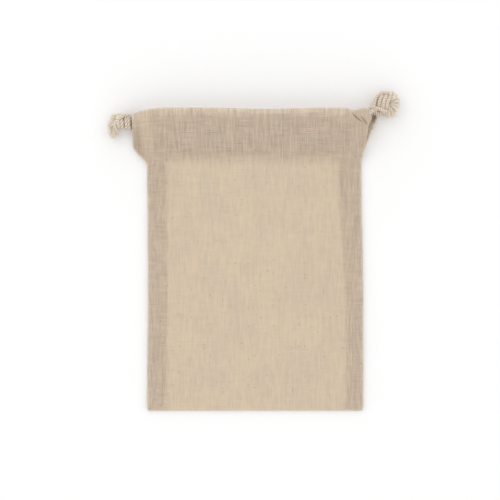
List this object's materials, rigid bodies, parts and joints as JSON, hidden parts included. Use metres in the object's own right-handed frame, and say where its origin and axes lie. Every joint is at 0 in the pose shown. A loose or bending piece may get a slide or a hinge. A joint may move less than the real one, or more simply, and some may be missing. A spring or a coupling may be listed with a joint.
{
  "type": "drawstring gift sack",
  "caption": "Small flat calico sack whose mouth is gathered by cords that run in two stitched channels and end in frayed knots at the sides.",
  "frame": {"origin": "middle of the sewn pouch, on the outer face of the back cloth that the sack rests on", "axes": "+X across the sack to its right side, +Y from the bottom fold to the mouth, +Z from the back cloth to the front cloth"},
  "size_m": [0.1364, 0.1486, 0.0124],
  "materials": {
    "calico": "unbleached plain weave",
    "calico_channel": "unbleached plain weave, two plies",
    "sewing_thread": "matt cotton thread",
    "cotton_cord": "soft twisted cord",
    "frayed_cotton": "loose yarn ends"
  },
  "bodies": {
    "sack": {"front_panel": "calico", "back_panel": "calico", "bottom_fold": "calico", "left_seam_allowance": "calico", "right_seam_allowance": "calico", "left_seam_thread": "sewing_thread", "right_seam_thread": "sewing_thread", "left_overlock_thread": "sewing_thread", "right_overlock_thread": "sewing_thread", "front_casing": "calico_channel", "back_casing": "calico_channel", "front_hem_thread": "sewing_thread", "back_hem_thread": "sewing_thread"},
    "left_mouth_end": {"front_left_slit_hem": "calico_channel", "back_left_slit_hem": "calico_channel", "front_left_slit_thread": "sewing_thread", "back_left_slit_thread": "sewing_thread"},
    "right_mouth_end": {"front_right_slit_hem": "calico_channel", "back_right_slit_hem": "calico_channel", "front_right_slit_thread": "sewing_thread", "back_right_slit_thread": "sewing_thread"},
    "left_cord": {"left_drawcord": "cotton_cord", "left_knot": "cotton_cord", "left_tuft": "frayed_cotton"},
    "right_cord": {"right_drawcord": "cotton_cord", "right_knot": "cotton_cord", "right_tuft": "frayed_cotton"}
  },
  "joints": [
    {"name": "left_cord_pull", "type": "slide", "parent": "sack", "child": "left_cord", "axis": [-1, 0, 0], "range_m": [0, 0.03], "deforming": ["front_casing", "back_casing", "front_hem_thread", "back_hem_thread"]},
    {"name": "right_cord_pull", "type": "slide", "parent": "sack", "child": "right_cord", "axis": [1, 0, 0], "range_m": [0, 0.03], "deforming": ["front_casing", "back_casing", "front_hem_thread", "back_hem_thread"]},
    {"name": "right_mouth_gather", "type": "slide", "parent": "sack", "child": "right_mouth_end", "axis": [-1, 0, 0], "range_m": [0, 0.03]},
    {"name": "left_mouth_gather", "type": "slide", "parent": "sack", "child": "left_mouth_end", "axis": [1, 0, 0], "range_m": [0, 0.03]}
  ],
  "couplings": [
    {"joint": "right_mouth_gather", "follows": "left_cord_pull", "ratio": 1},
    {"joint": "left_mouth_gather", "follows": "right_cord_pull", "ratio": 1}
  ]
}
